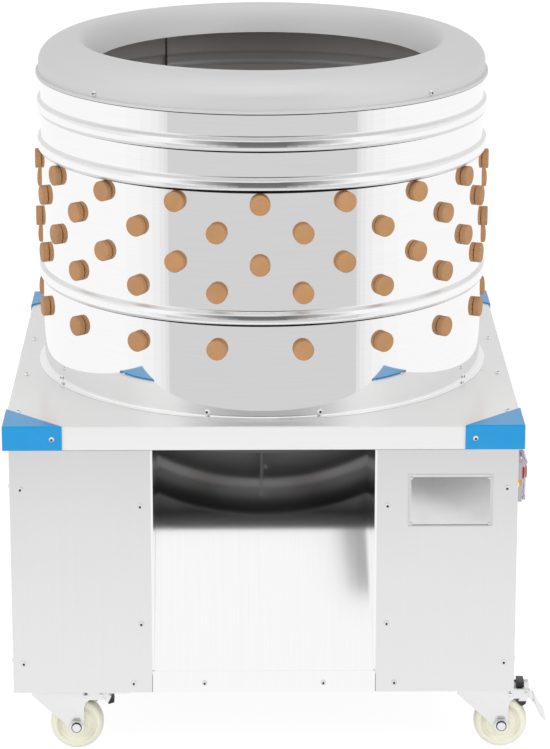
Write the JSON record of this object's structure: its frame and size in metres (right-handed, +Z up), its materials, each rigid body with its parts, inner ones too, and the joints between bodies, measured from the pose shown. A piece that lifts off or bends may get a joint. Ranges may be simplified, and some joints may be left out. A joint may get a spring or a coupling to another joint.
{
  "type": "poultry plucker",
  "caption": "Drum plucker for poultry: a finger-lined drum over a belt-driven turning plate, on a wheeled stainless cabinet with a feather chute at the front.",
  "frame": {"origin": "middle of the cabinet's underside, 100 mm above the floor that the casters stand on", "axes": "+Z up along the drum's axis, -Y out of the feather chute's front, +X to the side that carries the switch"},
  "size_m": [0.7594, 0.7326, 0.9685],
  "materials": {
    "sheet_steel": "bright stainless sheet",
    "polished_steel": "mirror-polished stainless sheet",
    "zinc_steel": "bright zinc plate",
    "blue_paint": "gloss paint",
    "finger_rubber": "tan moulded rubber",
    "black_rubber": "matte",
    "frame_paint": "satin paint",
    "machined_iron": "machined casting",
    "motor_paint": "satin paint",
    "ground_steel": "ground",
    "plate_metal": "satin, bare",
    "yellow_plastic": "moulded",
    "clear_plastic": "clear moulded",
    "red_plastic": "moulded",
    "green_plastic": "moulded",
    "black_plastic": "moulded",
    "cream_nylon": "moulded"
  },
  "bodies": {
    "cabinet": {"base_pan": "sheet_steel", "corner_posts": "sheet_steel", "left_side_panel": "sheet_steel", "right_side_panel": "sheet_steel", "rear_panel": "sheet_steel", "front_left_panel": "sheet_steel", "front_right_panel": "sheet_steel", "panel_screws": "zinc_steel", "top_tray": "sheet_steel", "tray_screws": "zinc_steel", "corner_protectors": "blue_paint", "rating_plate": "plate_metal", "rating_plate_rivets": "plate_metal", "drum_shell": "polished_steel", "top_ring": "sheet_steel", "ring_screws": "zinc_steel", "wall_fingers": "finger_rubber", "feather_pan": "sheet_steel", "chute_floor": "polished_steel", "chute_left_wall": "polished_steel", "chute_right_wall": "polished_steel", "cross_rails": "frame_paint", "bearing_plate": "frame_paint", "bearing_housing": "machined_iron", "shaft_bearings": "ground_steel", "shaft_seal": "black_rubber", "frame_bolts": "zinc_steel", "motor_stand": "frame_paint", "motor_body": "motor_paint", "motor_fan_cowl": "motor_paint", "capacitor_box": "black_plastic", "drive_belt": "black_rubber", "switch_housing": "yellow_plastic", "cable_gland": "black_plastic", "caster_plates": "zinc_steel", "caster_bolts": "zinc_steel"},
    "turning_assembly": {"main_shaft": "ground_steel", "plate_hub": "machined_iron", "turning_plate": "sheet_steel", "hub_bolts": "zinc_steel", "plate_fingers": "finger_rubber", "feather_sweepers": "sheet_steel", "driven_pulley": "machined_iron"},
    "motor_rotor": {"motor_shaft": "ground_steel", "motor_pulley": "machined_iron", "motor_fan": "black_plastic"},
    "front_left_swivel": {"front_left_fork": "zinc_steel"},
    "front_left_roller": {"front_left_wheel": "cream_nylon"},
    "front_right_swivel": {"front_right_fork": "zinc_steel"},
    "front_right_roller": {"front_right_wheel": "cream_nylon"},
    "rear_left_swivel": {"rear_left_fork": "zinc_steel"},
    "rear_left_roller": {"rear_left_wheel": "cream_nylon"},
    "rear_right_swivel": {"rear_right_fork": "zinc_steel"},
    "rear_right_roller": {"rear_right_wheel": "cream_nylon"},
    "left_brake": {"left_brake_pedal": "zinc_steel"},
    "right_brake": {"right_brake_pedal": "zinc_steel"},
    "flap": {"switch_flap": "clear_plastic"},
    "stop": {"stop_button": "red_plastic"},
    "start": {"start_button": "green_plastic"}
  },
  "joints": [
    {"name": "plate_spin", "type": "hinge", "parent": "cabinet", "child": "turning_assembly", "pos_m": [0, 0, 0.3], "axis": [0, 0, 1], "continuous": true},
    {"name": "motor_spin", "type": "hinge", "parent": "cabinet", "child": "motor_rotor", "pos_m": [0, 0.22185, 0.15], "axis": [0, 0, 1], "continuous": true},
    {"name": "front_left_swivel_turn", "type": "hinge", "parent": "cabinet", "child": "front_left_swivel", "pos_m": [-0.3, -0.3, -0.012], "axis": [0, 0, 1], "continuous": true},
    {"name": "front_left_wheel_roll", "type": "hinge", "parent": "front_left_swivel", "child": "front_left_roller", "pos_m": [-0.2645, -0.3, -0.0625], "axis": [0, 1, 0], "continuous": true},
    {"name": "front_right_swivel_turn", "type": "hinge", "parent": "cabinet", "child": "front_right_swivel", "pos_m": [0.3, -0.3, -0.012], "axis": [0, 0, 1], "continuous": true},
    {"name": "front_right_wheel_roll", "type": "hinge", "parent": "front_right_swivel", "child": "front_right_roller", "pos_m": [0.3355, -0.3, -0.0625], "axis": [0, 1, 0], "continuous": true},
    {"name": "rear_left_swivel_turn", "type": "hinge", "parent": "cabinet", "child": "rear_left_swivel", "pos_m": [-0.3, 0.3, -0.012], "axis": [0, 0, 1], "continuous": true},
    {"name": "rear_left_wheel_roll", "type": "hinge", "parent": "rear_left_swivel", "child": "rear_left_roller", "pos_m": [-0.2645, 0.3, -0.0625], "axis": [0, 1, 0], "continuous": true},
    {"name": "rear_right_swivel_turn", "type": "hinge", "parent": "cabinet", "child": "rear_right_swivel", "pos_m": [0.3, 0.3, -0.012], "axis": [0, 0, 1], "continuous": true},
    {"name": "rear_right_wheel_roll", "type": "hinge", "parent": "rear_right_swivel", "child": "rear_right_roller", "pos_m": [0.3355, 0.3, -0.0625], "axis": [0, 1, 0], "continuous": true},
    {"name": "left_brake_press", "type": "hinge", "parent": "front_left_swivel", "child": "left_brake", "pos_m": [-0.2292, -0.3, -0.017], "axis": [0, 1, 0], "range_deg": [0, 65]},
    {"name": "right_brake_release", "type": "hinge", "parent": "front_right_swivel", "child": "right_brake", "pos_m": [0.3708, -0.3, -0.017], "axis": [0, -1, 0], "range_deg": [0, 65]},
    {"name": "flap_open", "type": "hinge", "parent": "cabinet", "child": "flap", "pos_m": [0.37125, -0.2, 0.296], "axis": [0, -1, 0], "range_deg": [0, 110]},
    {"name": "stop_press", "type": "slide", "parent": "cabinet", "child": "stop", "axis": [-1, 0, 0], "range_m": [0, 0.004], "stiffness_N_per_m": 600},
    {"name": "start_press", "type": "slide", "parent": "cabinet", "child": "start", "axis": [-1, 0, 0], "range_m": [0, 0.004], "stiffness_N_per_m": 400}
  ],
  "couplings": [
    {"joint": "motor_spin", "follows": "plate_spin", "ratio": 4.6}
  ]
}
